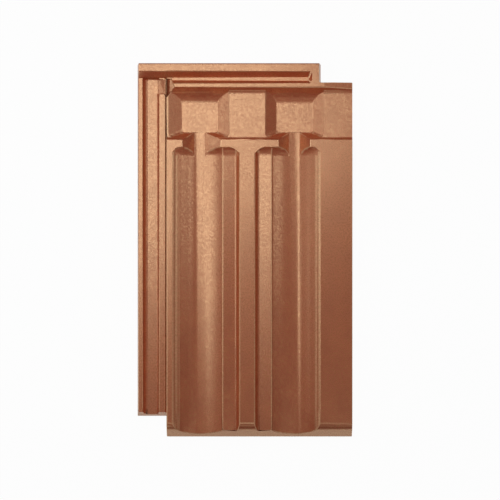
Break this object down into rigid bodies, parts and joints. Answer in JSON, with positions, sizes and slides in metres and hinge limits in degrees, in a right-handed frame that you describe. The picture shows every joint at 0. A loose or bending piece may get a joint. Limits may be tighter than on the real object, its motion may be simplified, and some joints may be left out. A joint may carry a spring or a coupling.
{
  "type": "clay roof tile",
  "caption": "Interlocking clay roof tile with twin rounded troughs, drained head recesses, a head groove, a side lock on the left and a flat cover flap on the right.",
  "frame": {"origin": "centre of the tile's bounding box on the floor it lies on", "axes": "+Y along the tile towards its head (up the roof), +X across towards the cover flap, +Z out of the weathered face"},
  "size_m": [0.28, 0.486, 0.0445],
  "materials": {
    "clay": "satin copper-brown engobe over fired clay"
  },
  "bodies": {
    "root": {"roof_tile": "clay"}
  },
  "joints": []
}
